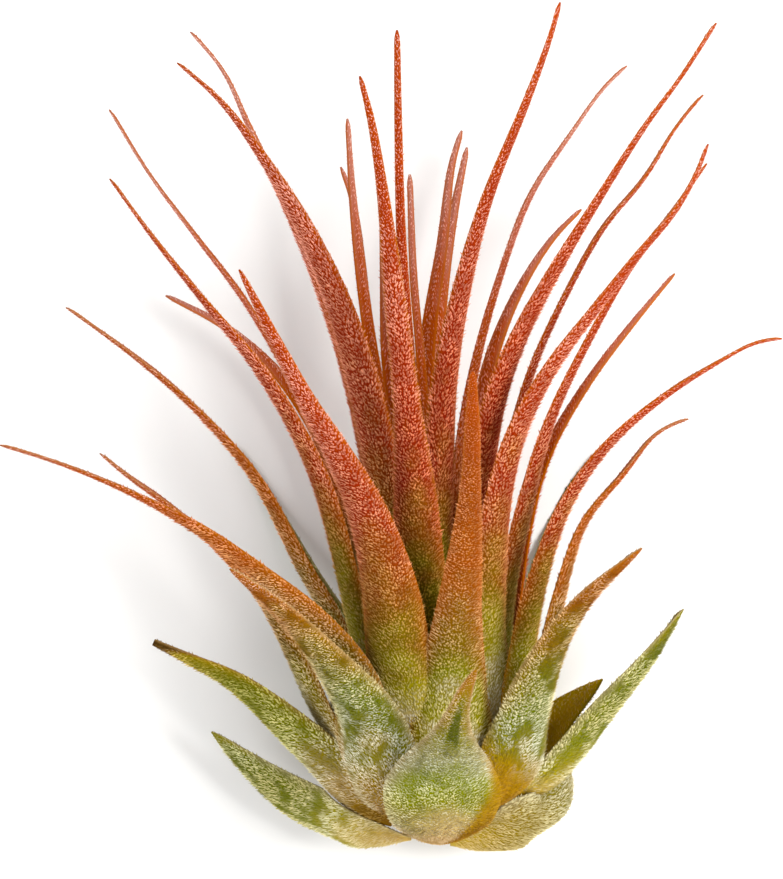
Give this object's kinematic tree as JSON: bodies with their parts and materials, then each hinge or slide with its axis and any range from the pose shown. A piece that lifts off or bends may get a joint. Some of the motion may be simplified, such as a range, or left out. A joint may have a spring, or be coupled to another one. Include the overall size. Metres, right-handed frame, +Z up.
{
  "type": "air plant",
  "caption": "Small air plant lying on its side: slender channelled leaves fan out from a bulb of clasping sheaths on a short stem.",
  "frame": {"origin": "on the surface that the plant lies on, in the middle of the flat spot under the bulb's rear outer leaf", "axes": "+Z up from the surface, towards someone who looks down on the plant; +Y along the plant from its foot to its tips; +X to that person's right"},
  "size_m": [0.0624, 0.0681, 0.0456],
  "materials": {
    "flushed_leaf": "matte leaf, green to orange at its base and coral red to the tip, with fine silvery scales",
    "silvered_leaf": "matte green leaf under a dense felt of silvery scales, tan at its thin margins",
    "dried_leaf": "matte leaf with a dry grey-brown margin and a cut tip",
    "woody_stem": "rough dry brown bark of old sheath scars"
  },
  "bodies": {
    "root": {"stem": "woody_stem", "heart_top_leaf": "flushed_leaf", "highest_leaf": "flushed_leaf", "heart_low_leaf": "flushed_leaf", "heart_left_low_leaf": "flushed_leaf", "upper_right_thin_leaf": "flushed_leaf", "upper_left_thin_leaf": "flushed_leaf", "behind_top_leaf": "flushed_leaf", "behind_left_twin_leaf": "flushed_leaf", "behind_tall_leaf": "flushed_leaf", "upper_left_broad_leaf": "flushed_leaf", "right_under_thin_leaf": "flushed_leaf", "behind_far_leaf": "flushed_leaf", "left_thin_leaf": "flushed_leaf", "upper_right_front_leaf": "flushed_leaf", "behind_right_leaf": "flushed_leaf", "tall_front_leaf": "flushed_leaf", "behind_left_leaf": "flushed_leaf", "left_edge_leaf": "flushed_leaf", "right_second_leaf": "flushed_leaf", "right_upper_front_leaf": "flushed_leaf", "under_right_thin_leaf": "flushed_leaf", "rear_middle_leaf": "flushed_leaf", "left_arching_leaf": "flushed_leaf", "right_sweeping_leaf": "flushed_leaf", "front_left_broad_leaf": "flushed_leaf", "rear_left_leaf": "silvered_leaf", "front_centre_leaf": "flushed_leaf", "right_low_leaf": "flushed_leaf", "rear_right_leaf": "silvered_leaf", "longest_left_leaf": "flushed_leaf", "rear_short_leaf": "silvered_leaf", "left_under_leaf": "flushed_leaf", "front_right_leaf": "silvered_leaf", "green_right_leaf": "silvered_leaf", "front_left_leaf": "silvered_leaf", "rear_low_left_leaf": "silvered_leaf", "dried_left_leaf": "dried_leaf", "rear_low_right_leaf": "silvered_leaf", "lowest_right_leaf": "silvered_leaf", "lowest_left_leaf": "silvered_leaf", "rear_outer_leaf": "silvered_leaf", "foot_front_leaf": "silvered_leaf"}
  },
  "joints": []
}
